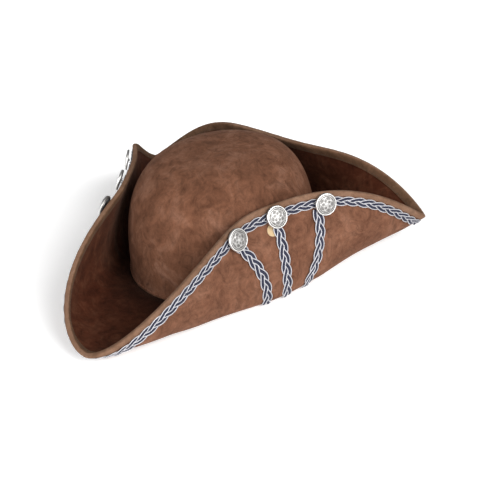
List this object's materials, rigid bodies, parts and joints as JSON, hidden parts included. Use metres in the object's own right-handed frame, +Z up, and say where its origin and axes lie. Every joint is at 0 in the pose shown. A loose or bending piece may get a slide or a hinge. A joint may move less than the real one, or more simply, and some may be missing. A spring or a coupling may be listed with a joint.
{
  "type": "tricorn pirate hat",
  "caption": "Tricorn pirate hat with a moulded faux suede crown, a brim cocked up into three flaps, a bound rim, plaited braid and laces, and swivelling metal buttons",
  "frame": {"origin": "centre of the head opening, on the plane of the flat ring that the hat stands on, below the middle of the crown", "axes": "+Z up through the crown; -Y to the front corner, so +Y is behind the wearer's head; +X to the wearer's left"},
  "size_m": [0.344, 0.3591, 0.122],
  "materials": {
    "crown_suede": "brushed faux suede",
    "brim_suede": "brushed faux suede",
    "binding_suede": "brushed faux suede strip",
    "core_board": "stiff buckram board",
    "lining_satin": "satin",
    "sweatband": "soft leatherette",
    "thread": "twisted thread",
    "steel_wire": "drawn wire",
    "braid": "silver and navy plaited braid",
    "button_silver": "antique silver plate",
    "shank_metal": "dull plate",
    "felt": "cream felt"
  },
  "bodies": {
    "hat": {"crown_shell": "crown_suede", "crown_lining": "lining_satin", "sweatband": "sweatband", "crown_seam_thread": "thread", "brim_lower_suede": "brim_suede", "brim_core": "core_board", "brim_upper_suede": "brim_suede", "brim_wire": "steel_wire", "edge_binding": "binding_suede", "edge_braid": "braid", "left_lace_front": "braid", "left_lace_mid": "braid", "left_lace_rear": "braid", "right_lace_front": "braid", "right_lace_mid": "braid", "right_lace_rear": "braid", "button_threads": "thread", "lace_pad": "felt"},
    "left_button_front": {"left_button_front_cap": "button_silver", "left_button_front_shank": "shank_metal"},
    "left_button_mid": {"left_button_mid_cap": "button_silver", "left_button_mid_shank": "shank_metal"},
    "left_button_rear": {"left_button_rear_cap": "button_silver", "left_button_rear_shank": "shank_metal"},
    "right_button_front": {"right_button_front_cap": "button_silver", "right_button_front_shank": "shank_metal"},
    "right_button_mid": {"right_button_mid_cap": "button_silver", "right_button_mid_shank": "shank_metal"},
    "right_button_rear": {"right_button_rear_cap": "button_silver", "right_button_rear_shank": "shank_metal"}
  },
  "joints": [
    {"name": "left_button_front_swivel", "type": "hinge", "parent": "hat", "child": "left_button_front", "pos_m": [0.07311, -0.08713, 0.07792], "axis": [0.9253, -0.2144, 0.3129], "range_deg": [-35, 35]},
    {"name": "left_button_mid_swivel", "type": "hinge", "parent": "hat", "child": "left_button_mid", "pos_m": [0.08876, -0.04139, 0.08377], "axis": [0.8326, -0.4152, 0.3667], "range_deg": [-35, 35]},
    {"name": "left_button_rear_swivel", "type": "hinge", "parent": "hat", "child": "left_button_rear", "pos_m": [0.11531, 0.00604, 0.08242], "axis": [0.8079, -0.5466, 0.2203], "range_deg": [-35, 35]},
    {"name": "right_button_front_swivel", "type": "hinge", "parent": "hat", "child": "right_button_front", "pos_m": [-0.07311, -0.08713, 0.07792], "axis": [-0.9253, -0.2144, 0.3129], "range_deg": [-35, 35]},
    {"name": "right_button_mid_swivel", "type": "hinge", "parent": "hat", "child": "right_button_mid", "pos_m": [-0.08876, -0.04139, 0.08377], "axis": [-0.8326, -0.4152, 0.3667], "range_deg": [-35, 35]},
    {"name": "right_button_rear_swivel", "type": "hinge", "parent": "hat", "child": "right_button_rear", "pos_m": [-0.11531, 0.00604, 0.08242], "axis": [-0.8079, -0.5466, 0.2203], "range_deg": [-35, 35]}
  ]
}
